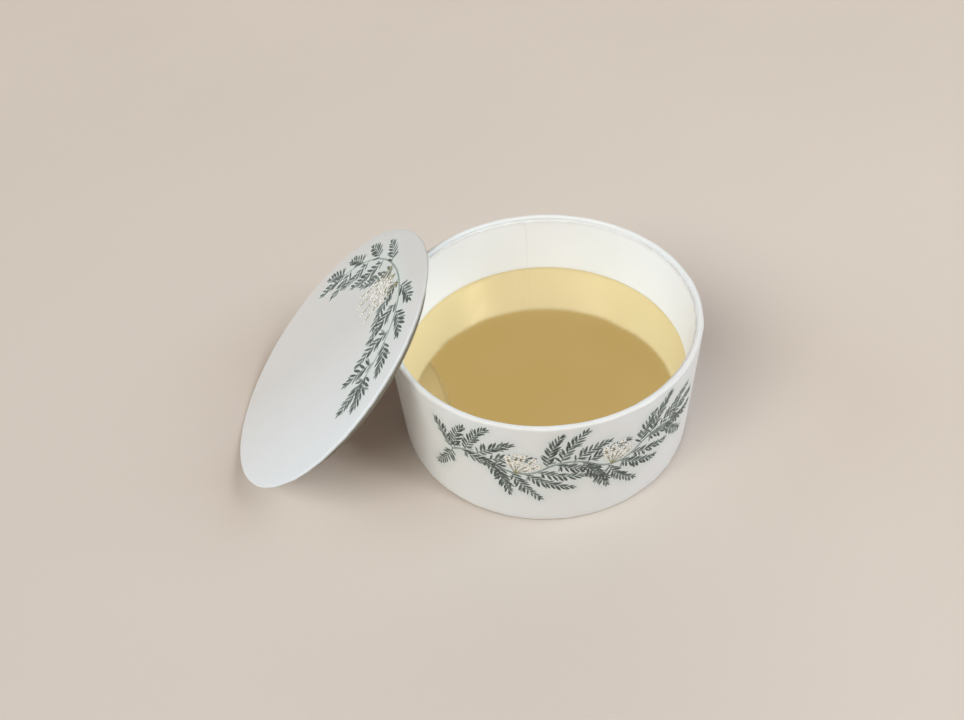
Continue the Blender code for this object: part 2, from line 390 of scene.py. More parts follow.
@dataclass
class Graph:
    """A node tree with short ways to add and link nodes.

    Attributes:
        tree: The node tree.
    """

    tree: Tree

    def give(self, socket: Socket, value: object) -> None:
        """Link a value to an input or set it there, a colour with full alpha."""
        if isinstance(value, Socket):
            self.tree.links.new(value, socket)
        else:
            socket.default_value = (*value, 1.0) if socket.type == "RGBA" else value

    def feed(self, node: Node, **values: object) -> Node:
        """Give a node's inputs values or links, by input name with _ for a space.

        Args:
            node: The node.
            **values: A number or tuple to set, or a socket to link.

        Returns:
            The same node.
        """
        for name, value in values.items():
            self.give(node.inputs[name.replace("_", " ")], value)
        return node

    def add(self, kind: str, *inputs: object, **settings: object) -> Node:
        """Add a node.

        Args:
            kind: Its type, without the first word that all share.
            *inputs: What its first inputs get.
            **settings: Its settings.

        Returns:
            The node.
        """
        node = self.tree.nodes.new(f"ShaderNode{kind}")
        for name, value in settings.items():
            setattr(node, name, value)
        for socket, value in zip(node.inputs, inputs):
            self.give(socket, value)
        return node

    def effect(self, tree: Tree, **values: object) -> bpy.types.NodeOutputs:
        """Place a shared effect, feed its inputs and return its outputs."""
        return self.feed(self.add("Group", node_tree=tree), **values).outputs

    def mask(self, name: str) -> Socket:
        """Return the number that a piece has painted on it under this name."""
        return self.add("Attribute", attribute_name=name).outputs["Fac"]

    def noise(self, vector: Socket, scale: object, detail: float = 3.0) -> Socket:
        """Add a noise texture and return its factor."""
        node = self.add("TexNoise")
        return self.feed(node, Vector=vector, Scale=scale, Detail=detail).outputs["Fac"]

    def maths(self, operation: str, first: object, second: object) -> Socket:
        """Add a math node of two inputs and return its value."""
        return self.add("Math", first, second, operation=operation).outputs[0]

    def remap(
        self, value: Socket, low: float, high: float, to_low: float = 0.0, to_high: float = 1.0
    ) -> Socket:
        """Add a map range and return its result."""
        return self.add("MapRange", value, low, high, to_low, to_high).outputs["Result"]

    def mix(self, factor: object, first: object, second: object) -> Socket:
        """Add a colour mix and return its colour."""
        node = self.add("Mix", data_type="RGBA")
        for index, value in ((0, factor), (6, first), (7, second)):
            self.give(node.inputs[index], value)
        return node.outputs[2]

    def bump(self, height: Socket, depth: float, **under: Socket) -> Socket:
        """Add a bump of this depth, over another normal if one is given."""
        node = self.add("Bump")
        self.feed(node, Strength=1.0, Distance=depth, Height=height, **under)
        return node.outputs["Normal"]

    def principled(self, **values: object) -> None:
        """Feed the material's Principled shader."""
        self.feed(self.tree.nodes["Principled BSDF"], **values)


def tinted(colour: Colour, share: float) -> Colour:
    """Return a colour made paler or darker by a share."""
    return tuple(channel * share for channel in colour)


def new_material(name: str) -> tuple[bpy.types.Material, Graph, Socket]:
    """Start a material and return it with its graph and its Object coordinates."""
    material = bpy.data.materials.new(name)
    material.use_nodes = True
    graph = Graph(material.node_tree)
    return material, graph, graph.add("TexCoord").outputs["Object"]


class Effects:
    """Shader effects that several finishes share, each built once as a node group.

    Attributes:
        grain: Fine paper fibre, as a height and as a fleck mask.
        drift: A slow change between two tints.
        wear_and_shade_group: Tint on folded edges, broken by noise: handling marks on some, painted
            shade on others.
    """

    def __init__(self) -> None:
        """Build the groups."""
        scales = {"Tooth Scale": "Float", "Cloud Scale": "Float"}
        fibre = {"Height": "Float", "Fleck": "Float"}
        graph, given, out = self._start("paper_grain", scales, fibre)
        tooth = graph.noise(given["Vector"], given["Tooth Scale"], 4.0)
        clouds = graph.noise(given["Vector"], given["Cloud Scale"], 2.0)
        height = graph.maths("ADD", tooth, graph.maths("MULTIPLY", clouds, 2.5))
        graph.feed(out, Height=height, Fleck=graph.remap(tooth, 0.62, 0.75))
        self.grain = graph.tree

        tints = {"Scale": "Float", "First": "Color", "Second": "Color"}
        graph, given, out = self._start("tone_drift", tints, {"Color": "Color"})
        slow = graph.remap(graph.noise(given["Vector"], given["Scale"], 1.0), 0.35, 0.65)
        graph.feed(out, Color=graph.mix(slow, given["First"], given["Second"]))
        self.drift = graph.tree

        edges = {"Edge": "Float", "Color": "Color", "WearAndShade": "Color"}
        graph, given, out = self._start("edge_wear_and_shade", edges, {"Color": "Color"})
        broken = graph.remap(graph.noise(given["Vector"], 160.0), 0.3, 0.7, 0.35, 1.0)
        mask = graph.maths("MULTIPLY", given["Edge"], broken)
        graph.feed(out, Color=graph.mix(mask, given["Color"], given["WearAndShade"]))
        self.wear_and_shade_group = graph.tree

    @staticmethod
    def _start(
        name: str, inputs: dict[str, str], outputs: dict[str, str]
    ) -> tuple[Graph, bpy.types.NodeOutputs, Node]:
        """Start a node group.

        Args:
            name: The group's name.
            inputs: Kinds of its inputs by name, besides the vector that each group has.
            outputs: Kinds of its outputs by name.

        Returns:
            The group's graph, what comes in by its inputs, and its output node.
        """
        tree = bpy.data.node_groups.new(name, "ShaderNodeTree")
        for side, sockets in (("INPUT", {"Vector": "Vector", **inputs}), ("OUTPUT", outputs)):
            for label, kind in sockets.items():
                tree.interface.new_socket(name=label, in_out=side, socket_type=f"NodeSocket{kind}")
        given = tree.nodes.new("NodeGroupInput").outputs
        return Graph(tree), given, tree.nodes.new("NodeGroupOutput")


@dataclass(frozen=True)
class Finish:
    """A finish of the box.

    Attributes:
        name: The material's name.
        slot: The record's slot that it stands for. Not used by this script.
    """

    name: str
    slot: Slot

    def inputs(self, graph: Graph, point: Socket, effects: Effects) -> dict[str, object]:
        """Return what the shader's inputs get.

        Args:
            graph: The material's graph.
            point: Its Object coordinates.
            effects: The shared shader effects.

        Returns:
            Numbers and sockets by input name, with _ for a space.
        """
        raise NotImplementedError

    def build(self, effects: Effects) -> bpy.types.Material:
        """Build the finish's material."""
        material, graph, point = new_material(self.name)
        graph.principled(**self.inputs(graph, point, effects))
        return material


@dataclass(frozen=True)
class PaperFinish(Finish):
    """Coated paper or card, with fibre, a slow tint and a tint on folded edges.

    Attributes:
        first: First tint, linear.
        second: Second tint.
        wear_and_shade: Tint on folded edges: handling marks on some papers, painted shade on
            others.
        front: Tint that the sheet leans to towards the front as a painted sheen, or none.
        wash: Tint round a print, where the paper has the mask of that name.
        roughness: Middle roughness.
        tooth: Scale of the fibre's noise.
        depth: Height of the fibre's bump.
        coat: Weight of the pearl coat.
    """

    first: Colour
    second: Colour
    wear_and_shade: Colour
    front: Colour | None = None
    wash: Colour = (0.64, 0.73, 0.70)
    roughness: float = 0.6
    tooth: float = 1800.0
    depth: float = 0.00003
    coat: float = 0.0

    def inputs(self, graph: Graph, point: Socket, effects: Effects) -> dict[str, object]:
        """Return what the shader's inputs get."""
        grain = graph.effect(effects.grain, Vector=point, Tooth_Scale=self.tooth, Cloud_Scale=70.0)
        tints = {"First": self.first, "Second": self.second}
        toned = graph.effect(effects.drift, Vector=point, Scale=9.0, **tints)["Color"]
        # Painted sheen: the tint grows paler and cooler towards the front, at -Y.
        if self.front:
            away = graph.add("SeparateXYZ", point).outputs["Y"]
            toned = graph.mix(graph.remap(away, 0.0, -0.095), toned, self.front)
        toned = graph.mix(graph.mask("wash"), toned, self.wash)
        edges = {"Edge": graph.mask("edge"), "Color": toned, "WearAndShade": self.wear_and_shade}
        wear_and_shade = graph.effect(effects.wear_and_shade_group, Vector=point, **edges)["Color"]
        fleck = graph.maths("MULTIPLY", grain["Fleck"], 0.035)
        low, high = self.roughness - 0.06, self.roughness + 0.06
        return dict(
            Base_Color=graph.mix(fleck, wear_and_shade, tinted(self.second, 0.75)),
            Roughness=graph.remap(grain["Height"], 1.2, 2.3, low, high),
            Normal=graph.bump(grain["Height"], self.depth),
            Coat_Weight=self.coat,
            Coat_Roughness=0.3,
        )


@dataclass(frozen=True)
class GoldFinish(Finish):
    """Satin mirror film laminated on board.

    Attributes:
        gold: Colour of the film, linear.
        pale: Its paler tint.
        roughness: Middle roughness.
    """

    gold: Colour
    pale: Colour
    roughness: float = 0.08

    def inputs(self, graph: Graph, point: Socket, effects: Effects) -> dict[str, object]:
        """Return what the shader's inputs get."""
        tints = {"First": self.gold, "Second": self.pale}
        peel = graph.noise(point, 420.0, 2.0)
        sag = graph.bump(graph.noise(point, 22.0, 1.0), 0.00035)
        return dict(
            Base_Color=graph.effect(effects.drift, Vector=point, Scale=14.0, **tints)["Color"],
            Roughness=graph.remap(peel, 0.3, 0.7, self.roughness - 0.02, self.roughness + 0.03),
            Metallic=1.0,
            Normal=graph.bump(peel, 0.000004, Normal=sag),
        )


@dataclass(frozen=True)
class BoardFinish(Finish):
    """Greyboard pressed from recycled paper, with dark and pale fibres.

    Attributes:
        grey: Middle colour, linear.
        dark: Colour of the dark fibres.
        pale: Colour of the pale fibres.
    """

    grey: Colour
    dark: Colour
    pale: Colour

    def inputs(self, graph: Graph, point: Socket, effects: Effects) -> dict[str, object]:
        """Return what the shader's inputs get."""
        grain = graph.effect(effects.grain, Vector=point, Tooth_Scale=900.0, Cloud_Scale=90.0)
        fibres = graph.noise(point, 1500.0, 6.0)
        colour = graph.mix(graph.remap(fibres, 0.58, 0.7, 0.0, 0.7), self.grey, self.dark)
        return dict(
            Base_Color=graph.mix(graph.remap(fibres, 0.42, 0.3, 0.0, 0.6), colour, self.pale),
            Roughness=graph.remap(grain["Fleck"], 0.0, 1.0, 0.86, 0.95),
            Normal=graph.bump(grain["Height"], 0.00004),
        )


@dataclass(frozen=True)
class InkFinish(Finish):
    """Printed ink whose colour runs along and across each shape.

    Attributes:
        root: Colour at the foot of a shape, or at its middle.
        tip: Colour at its tip, or at its rim.
        wash: Paler colour that some shapes lean to.
        vein: Colour of the line along the middle.
        lit_half: How far one half of each shape leans to the wash, from 0 to 1.
        roughness: Roughness of the ink.
    """

    root: Colour
    tip: Colour
    wash: Colour
    vein: Colour
    lit_half: float = 0.0
    roughness: float = 0.45

    def inputs(self, graph: Graph, point: Socket, effects: Effects) -> dict[str, object]:
        """Return what the shader's inputs get."""
        speck = graph.noise(point, 1800.0)
        along = graph.maths("ADD", graph.mask("along"), graph.remap(speck, 0.3, 0.7, -0.16, 0.16))
        body = graph.mix(graph.remap(along, 0.1, 0.95), self.root, self.tip)
        across = graph.mask("across")
        lit = graph.remap(across, -0.05, 0.05, 0.0, self.lit_half)
        pale = graph.maths("MAXIMUM", graph.maths("MULTIPLY", graph.mask("tone"), 0.8), lit)
        middle_line = graph.remap(graph.maths("ABSOLUTE", across, 0.0), 0.08, 0.2, 0.6, 0.0)
        washed = graph.mix(pale, body, self.wash)
        return dict(
            Base_Color=graph.mix(middle_line, washed, self.vein),
            Roughness=graph.remap(speck, 0.3, 0.7, self.roughness - 0.05, self.roughness + 0.05),
        )


class Look(Enum):
    """The box's finishes."""

    # Wall paper: its fold tint is partly handling marks and partly painted shade that dims the rim.
    PEARL = PaperFinish(
        "pearl_printed_paper", Slot.PEARL, first=(0.78, 0.825, 0.815), second=(0.80, 0.82, 0.795),
        wear_and_shade=(0.73, 0.74, 0.71), roughness=0.40, tooth=2600.0, depth=0.00002, coat=0.15,
    )
    # Lid paper: the wall's pearl paper made darker as painted shade, with a painted sheen at the
    # front
    # and a painted shadow line along its lower fold.
    LID_PEARL = PaperFinish(
        "pearl_lid_paper_painted_light", Slot.PEARL, first=(0.635, 0.65, 0.625), second=(0.655, 0.655, 0.62),
        wear_and_shade=(0.26, 0.24, 0.19), front=(0.725, 0.78, 0.785), roughness=0.40, tooth=2600.0,
        depth=0.00002, coat=0.15,
    )
    CARD = PaperFinish(
        "white_liner_card", Slot.CARD, first=(0.87, 0.90, 0.91), second=(0.87, 0.895, 0.89),
        wear_and_shade=(0.72, 0.71, 0.68), roughness=0.36, tooth=2000.0, depth=0.00002,
    )
    PLAIN = PaperFinish(
        "white_cover_paper", Slot.WHITE, first=(0.79, 0.785, 0.76), second=(0.80, 0.79, 0.765),
        wear_and_shade=(0.70, 0.68, 0.63),
    )
    # Plug paper: its side is painted dark as the shadow line under the lid, and its cream
    # is warmed to stand in for the warm light that the gold throws on it.
    PLUG = PaperFinish(
        "plug_cover_paper_painted_shade", Slot.WHITE, first=(0.79, 0.755, 0.67), second=(0.80, 0.76, 0.68),
        wear_and_shade=(0.19, 0.17, 0.125),
    )
    LEAF = InkFinish(
        "leaf_ink", Slot.PEARL, root=(0.040, 0.056, 0.050), tip=(0.010, 0.015, 0.013),
        wash=(0.44, 0.52, 0.485), vein=(0.10, 0.135, 0.12), lit_half=0.1, roughness=0.55,
    )
    STEM = InkFinish(
        "stem_ink", Slot.PEARL, root=(0.20, 0.255, 0.23), tip=(0.27, 0.335, 0.305),
        wash=(0.45, 0.52, 0.485), vein=(0.38, 0.45, 0.415),
    )
    STALK = InkFinish(
        "stalk_ink", Slot.PEARL, root=(0.16, 0.155, 0.045), tip=(0.30, 0.275, 0.10),
        wash=(0.42, 0.38, 0.17), vein=(0.34, 0.31, 0.12),
    )
    PETAL = InkFinish(
        "petal_ink", Slot.PEARL, root=(0.86, 0.85, 0.76), tip=(0.92, 0.92, 0.90),
        wash=(0.90, 0.87, 0.80), vein=(0.92, 0.92, 0.90),
    )
    GOLD = GoldFinish(
        "gold_mirror_film", Slot.GOLD, gold=(0.91, 0.75, 0.41), pale=(0.94, 0.78, 0.45),
    )
    BOARD = BoardFinish(
        "greyboard_pressed", Slot.BOARD, grey=(0.33, 0.29, 0.24), dark=(0.16, 0.13, 0.11),
        pale=(0.52, 0.47, 0.40),
    )


class Finishes:
    """Every finish's material, each built once."""

    def __init__(self) -> None:
        """Build the materials."""
        effects = Effects()
        self.materials = {look: look.value.build(effects) for look in Look}

    def coat(self, piece: Piece, look: Look) -> None:
        """Give a piece one material all over."""
        piece.data.materials.clear()
        piece.data.materials.append(self.materials[look])

    def dress(self, piece: Piece, look: Look, body: Body, *nodes: str) -> Piece:
        """Give a finished piece its material and body, and hide the CAD nodes that it stands for.

        Args:
            piece: The piece, in place.
            look: Its finish.
            body: The body that it rides on.
            *nodes: CAD nodes that it replaces.

        Returns:
            The same piece.
        """
        self.coat(piece, look)
        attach(piece, body.value)
        if nodes:
            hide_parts(*nodes)
        triangles = sum(len(face.vertices) - 2 for face in piece.data.polygons)
        LOG.info("%s: %d triangles on %s", piece.name, triangles, body.value)
        return piece


def half_width(node: str) -> float:
    """Return half the width of a CAD node along X."""
    low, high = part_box(node)
    return (high.x - low.x) / 2


def middle(node: str) -> Vector:
    """Return the middle of a CAD node's box."""
    low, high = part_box(node)
    return (low + high) / 2


def extent(node: str, direction: Vector) -> float:
    """Return how far a CAD node reaches along a direction, from end to end."""
    reaches = [vertex.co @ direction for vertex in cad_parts[node].data.vertices]
    return max(reaches) - min(reaches)


@dataclass
class BoxPapers:
    """The wrapped wall, the liner, the gold film and the paper below the base.

    Attributes:
        finishes: The materials.
        rim_fold: Radius of the paper's fold over the rim.
        foot_fold: Radius of its fold under the foot.
        turn_in: Depth of the paper turned in over the rim.
        margin: Width of the paper turned under the base.
        lap_width: Width of the paper's lap.
        lap_bearing: Bearing of the lap's edge.
        seam_bearing: Bearing of the liner's seam.
        seam_gap: Width of the liner's seam.
        seam_lift: How far the liner's end stands off at the seam.
    """

    finishes: Finishes
    rim_fold: float = 0.0015
    foot_fold: float = 0.0012
    turn_in: float = 0.016
    margin: float = 0.015
    lap_width: float = 0.012
    lap_bearing: float = math.radians(102.5)
    seam_bearing: float = math.radians(96)
    seam_gap: float = 0.00001
    seam_lift: float = 0.0002
    wall_wave: Wander = Wander(11, 0.00012, (2, 3, 5))
    rim_wave: Wander = Wander(12, 0.00024, (9, 14, 23, 31))
    rim_height_wave: Wander = Wander(13, 0.0002, (4, 7, 19, 33))
    liner_wave: Wander = Wander(21, 0.00006, (3, 5, 8, 13))
    liner_top_wave: Wander = Wander(22, 0.0003, (7, 19, 33, 52, 71))
    rim_flats: Notches = Notches(15, count=27)
    foot_flats: Notches = Notches(16, count=31)
    foot_notches: Notches = Notches(14)

    def __post_init__(self) -> None:
        """Read the sizes off the frame."""
        self.radius = half_width("wall_board") + GLUE + PAPER
        self.inner_radius = half_width("base_board") - PAPER
        low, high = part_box("outer_wrap")
        self.foot, self.rim = low.z, high.z
        self.liner_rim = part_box("liner_ring")[1].z
        self.liner_radius = self.inner_radius - GLUE - CARD

    def lap(self, bearing: float) -> float:
        """Return how far the paper's lap stands off the wall at a bearing."""
        along = ((bearing - self.lap_bearing) % TURN) * self.radius
        rise = min(along / PAPER, 1.0)
        fall = 1 - smooth_step((along - PAPER - self.lap_width) / (self.lap_width / 3))
        return PAPER * 0.8 * rise * fall

    def off_round(self, bearing: float, height: float) -> float:
        """Return how far the wall's outer face strays from its circle."""
        near_rim = near(self.rim - height, 0.012)
        near_foot = near(height - self.foot, 0.008)
        stray = self.wall_wave.at(bearing) + self.rim_wave.at(bearing) * near_rim
        stray -= self.radius * self.rim_flats.flat(bearing) * near_rim * 0.4
        stray -= self.radius * self.foot_flats.flat(bearing) * near_foot * 0.5
        return max(stray, -GLUE * 0.9) + self.lap(bearing)

    def surface(self, bearing: float, height: float) -> float:
        """Return the radius of the wall's outer face at a bearing and height."""
        return self.radius + self.off_round(bearing, height)

    def _turned_in(self, radius: float, height: float) -> bool:
        """Return whether a point of the wall paper lies on its inner side."""
        return radius < (self.radius + self.inner_radius) / 2 and height > self.rim / 2

    def _press_wall(self, bearing: float, radius: float, height: float) -> Point:
        """Return where a point of the wall paper lies, with its waves, tabs and lap."""
        lift = self.rim_height_wave.at(bearing) * near(self.rim - height, 0.01)
        if self._turned_in(radius, height):
            return radius - self.lap(bearing) * 0.7, height + lift
        share = smooth_step((radius - self.inner_radius) / (self.radius - self.inner_radius))
        return radius + self.off_round(bearing, height) * share, height + lift

    def _wall_edge(self, point: Vector) -> float:
        """Return how near a point of the wall paper is to a folded edge."""
        if self._turned_in(point.xy.length, point.z):
            return 0.0
        rim = near(self.rim - point.z, self.rim_fold * 1.6)
        return max(rim, near(point.z - self.foot, self.foot_fold * 1.5))

    def build_wrap(self) -> Piece:
        """Build the printed paper round the wall."""
        level = self.rim - self.rim_fold
        inner_fold = fold((self.inner_radius + self.rim_fold, level), self.rim_fold, 2, 1)
        rim_fold = fold((self.radius - self.rim_fold, level), self.rim_fold, 1, 0)
        foot_centre = (self.radius - self.foot_fold, self.foot + self.foot_fold)
        foot_fold = fold(foot_centre, self.foot_fold, 0, -1)
        start = [(self.inner_radius, self.rim - self.turn_in)]
        end = [(self.radius - self.margin, self.foot)]
        profile = chain(start, 6, inner_fold + rim_fold, 24, foot_fold, 4, end)
        wrap = draw_sheet("wall_paper", profile)
        press(wrap, self._press_wall)
        give_thickness(wrap, PAPER)
        edge = self.foot_fold * 1.6
        cut_notches(wrap, self.foot_notches, self.radius, self.margin, edge, self.foot)
        shade(wrap)
        # Fold tint: partly handling marks, partly painted shade that dims the rim's highlight.
        paint(wrap, "edge", self._wall_edge)
        return self.finishes.dress(wrap, Look.PEARL, Body.BOX, "outer_wrap")

    def build_liner(self) -> None:
        """Build the white card strip that stands on the tray inside the wall."""
        steps = {"x_subdivisions": ROUND_STEPS, "y_subdivisions": 14}
        liner = add_primitive("grid", "liner_card", size=1, **steps)
        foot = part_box("gold_foil")[1].z + GLUE / 10
        sweep = TURN - self.seam_gap / self.liner_radius
        for vertex in liner.data.vertices:
            share, level = vertex.co.x + 0.5, vertex.co.y + 0.5
            bearing = self.seam_bearing + self.seam_gap / 2 / self.liner_radius + sweep * share
            near_end = near(share * sweep * self.liner_radius, 0.009)
            lift = self.seam_lift * near_end * smooth_step((level - 0.3) / 0.3)
            radius = self.liner_radius + self.liner_wave.at(bearing) * level - lift
            top = self.liner_rim + self.liner_top_wave.at(bearing)
            vertex.co = around(bearing, radius, foot + (top - foot) * level)
        give_thickness(liner, CARD + GLUE * 1.1, 1.0)
        corners = {"limit_method": "ANGLE", "angle_limit": math.radians(50)}
        apply_modifier(liner, "BEVEL", width=0.00015, segments=2, **corners)
        shade(liner)
        # Painted shade: the card darkens towards its top edge, which dims that edge's highlight.
        paint(liner, "edge", lambda point: near(self.liner_rim - point.z, 0.0012))
        self.finishes.dress(liner, Look.CARD, Body.BOX, "liner_ring")

    def build_gold(self) -> None:
        """Build the gold film on the tray board."""
        radius, (low, high) = half_width("gold_foil"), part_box("gold_foil")
        edge = PAPER / 4
        rounded = fold((radius - edge, high.z - edge), edge, 0, 1)
        side = [(radius - edge, low.z), (radius, low.z + edge), *rounded]
        film = draw_sheet("gold_film", chain(side, 12, [(0, high.z)]))
        close_below(film)
        shade(film)
        self.finishes.dress(film, Look.GOLD, Body.BOX, "gold_foil")

    def build_underside(self) -> None:
        """Build the plain paper glued below the base, over the notched margin."""
        radius, (low, high) = half_width("underside_paper"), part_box("underside_paper")
        edge = PAPER / 3
        side = [(radius - edge, high.z), (radius, high.z - edge)]
        side += [(radius, low.z + edge), (radius - edge, low.z)]
        paper = draw_sheet("underside_cover", chain(side, 10, [(0, low.z)]))
        close_below(paper)
        shade(paper)
        paint(paper, "edge", lambda point: near(radius - point.xy.length, 0.002))
        self.finishes.dress(paper, Look.PLAIN, Body.BOX, "underside_paper")

    def build(self) -> Piece:
        """Build every sheet of the box and return its printed paper."""
        wrap = self.build_wrap()
        self.build_liner()
        self.build_gold()
        self.build_underside()
        return wrap


@dataclass
class LidPapers:
    """The wrapped lid and its wrapped plug, modelled flat and then leaned on the box.

    Attributes:
        finishes: The materials.
        lid_fold: Radius of the paper's folds round the lid board.
        plug_fold: Radius of the folds round the plug board.
        plug_taper: How far the plug's lower edge lies inside its upper one.
        lid_margin: Width of the paper turned in below the lid.
        plug_margin: Width of the paper turned in above the plug.
    """

    finishes: Finishes
    lid_fold: float = 0.0011
    plug_fold: float = 0.0018
    plug_taper: float = 0.0014
    lid_margin: float = 0.015
    plug_margin: float = 0.012
    side_wave: Wander = Wander(31, 0.0001, (3, 7, 12))
    top_wave: Wander = Wander(32, 0.00009, (2, 3, 5))
    lid_notches: Notches = Notches(33)

    def __post_init__(self) -> None:
        """Read the lid's sizes and its place off the frame."""
        plug_middle = middle("plug_board")
        axis = (middle("lid_board") - plug_middle).normalized()
        across = axis.cross(UP).normalized()
        cover = GLUE + PAPER
        self.radius = extent("lid_board", across) / 2 + cover
        self.plug_radius = extent("plug_board", across) / 2 + cover
        self.plug_board = extent("plug_board", axis)
        self.foot = self.plug_board + 2 * cover + GLUE
        self.top = self.foot + extent("lid_board", axis) + 2 * cover
        self.place = Matrix((across.cross(axis).normalized(), across, axis)).transposed().to_4x4()
        self.place.translation = plug_middle - axis * (cover + self.plug_board / 2)

    def lean(self, piece: Piece) -> None:
        """Move a piece from the lid's own frame to its place against the box."""
        piece.data.transform(self.place)

    def crown(self, bearing: float, radius: float) -> float:
        """Return how far the top paper lies above or below its level."""
        share = radius / self.radius
        return self.top_wave.at(bearing) * share * (1 - smooth_step((share - 0.93) / 0.07))

    def _press_lid(self, bearing: float, radius: float, height: float) -> Point:
        """Return where a point of the lid's paper lies, with its tabs and waves."""
        rising = smooth_step((height - self.foot) / (self.top - self.foot))
        outwards = smooth_step((radius - self.radius + 3 * self.lid_fold) / (3 * self.lid_fold))
        tabs = self.radius * self.lid_notches.flat(bearing) * (1 - 0.75 * rising)
        stray = (self.side_wave.at(bearing) - tabs) * outwards
        lift = self.crown(bearing, radius) if height > (self.foot + self.top) / 2 else 0.0
        return radius + stray, height + lift

    def _lid_edge(self, point: Vector) -> float:
        """Return how near a point of the lid paper is to its lower fold, its painted shadow line.
        """
        outwards = near(self.radius - point.xy.length, self.lid_fold * 1.5)
        return outwards * smooth_step(1.6 - (point.z - self.foot) / self.lid_fold)

    def _plug_edge(self, point: Vector) -> float:
        """Return how near a point of the plug's paper is to its side, over 1 for even painted
        shade.
        """
        side = self.plug_radius - self.plug_taper - self.plug_fold * 0.3
        return 3 * near(side - point.xy.length, self.plug_fold * 0.5)

    def _plug_folds(self, depth: float) -> tuple[Profile, Profile]:
        """Return the plug's lower and upper fold, this far below its shown face."""
        size = self.plug_fold - depth
        high = self.plug_board + 2 * (GLUE + PAPER) - self.plug_fold
        low_centre = (self.plug_radius - self.plug_taper - self.plug_fold, self.plug_fold)
        high_centre = (self.plug_radius - self.plug_fold, high)
        return fold(low_centre, size, 0, -1), fold(high_centre, size, 1, 0)

    def build_wrap(self) -> Piece:
        """Build the printed paper over the lid board."""
        edge = self.radius - self.lid_fold
        low_fold = fold((edge, self.foot + self.lid_fold), self.lid_fold, -1, 0)
        high_fold = fold((edge, self.top - self.lid_fold), self.lid_fold, 0, 1)
        start = [(self.radius - self.lid_margin, self.foot)]
        profile = chain(start, 4, low_fold, 3, high_fold, 24, [(0, self.top)])
        wrap = draw_sheet("lid_paper", profile)
        press(wrap, self._press_lid)
        give_thickness(wrap, PAPER)
        edge = self.lid_fold * 2
        cut_notches(wrap, self.lid_notches, self.radius, self.lid_margin, edge, self.foot)
        shade(wrap)
        # Painted shade: a dark line along the lower fold, as the shadow under the lid's edge.
        paint(wrap, "edge", self._lid_edge)
        self.lean(wrap)
        return self.finishes.dress(wrap, Look.LID_PEARL, Body.LID, "lid_wrap")

    def build_plug(self) -> None:
        """Build the white paper round the plug board."""
        low_fold, high_fold = self._plug_folds(0.0)
        start = [(self.plug_radius - self.plug_margin, high_fold[0][1])]
        plug = draw_sheet("plug_paper", chain(start, 3, high_fold, 2, low_fold, 10, [(0, 0)]))
        give_thickness(plug, PAPER)
        shade(plug)
        # Painted shade: the plug's side is tinted dark as the shadow under the lid.
        paint(plug, "edge", self._plug_edge)
        self.lean(plug)
        self.finishes.dress(plug, Look.PLUG, Body.LID, "plug_wrap")

    def build_plug_board(self) -> None:
        """Build the board inside the plug's paper."""
        low_fold, high_fold = self._plug_folds(GLUE + PAPER)
        profile = [*low_fold[::-1], *high_fold[::-1], (0, high_fold[0][1])]
        board = draw_sheet("plug_core", profile)
        close_below(board)
        shade(board)
        self.lean(board)
        self.finishes.dress(board, Look.BOARD, Body.LID, "plug_board")

    def build(self) -> Piece:
        """Build every sheet of the lid and return its printed paper."""
        wrap = self.build_wrap()
        self.build_plug()
        self.build_plug_board()
        return wrap


# The garland printed on the papers


@dataclass(frozen=True)
class Spot:
    """A place and a heading on a printed surface.

    Attributes:
        across: Distance to the right of the surface's middle.
        up: Distance up the surface.
        heading: Direction of growth, in radians from the right.
    """

    across: float
    up: float
    heading: float

    def moved(self, ahead: float, aside: float) -> "Spot":
        """Return the spot this far ahead and to the left, with the same heading."""
        cosine, sine = math.cos(self.heading), math.sin(self.heading)
        across = self.across + ahead * cosine - aside * sine
        return Spot(across, self.up + ahead * sine + aside * cosine, self.heading)

    def turned(self, turn: float) -> "Spot":
        """Return the same place with its heading turned to the left."""
        return Spot(self.across, self.up, self.heading + turn)


@dataclass(frozen=True)
class Twig:
    """A stem that grows from a spot and curls.

    Attributes:
        root: Where it starts.
        length: Its length.
        curl: How far its heading turns over its length, in radians.
    """

    root: Spot
    length: float
    curl: float

    def step(self, spot: Spot, k: int, steps: int) -> Spot:
        """Return a spot with the heading that the twig has in its step k."""
        return Spot(spot.across, spot.up, self.root.heading + self.curl * ((k + 0.5) / steps))

    def trace(self, steps: int) -> list[Spot]:
        """Return spots at even steps along the twig, the root first."""
        spots = [self.root]
        for k in range(steps):
            spots.append(self.step(spots[-1], k, steps).moved(self.length / steps, 0))
        return spots


class Ink(Enum):
    """The inks of the print, by the name that their pieces end in."""

    LEAF = "leaves"
    STEM = "stems"
    STALK = "stalks"
    PETAL = "petals"


class Order(IntEnum):
    """What lies over what in the print, from the lowest. Each has its own few layers."""

    STEM, PALE, LEAF, STALK, PETAL, EYE = range(6)


LAYERS = 5
INK_ANGLE = math.radians(40)


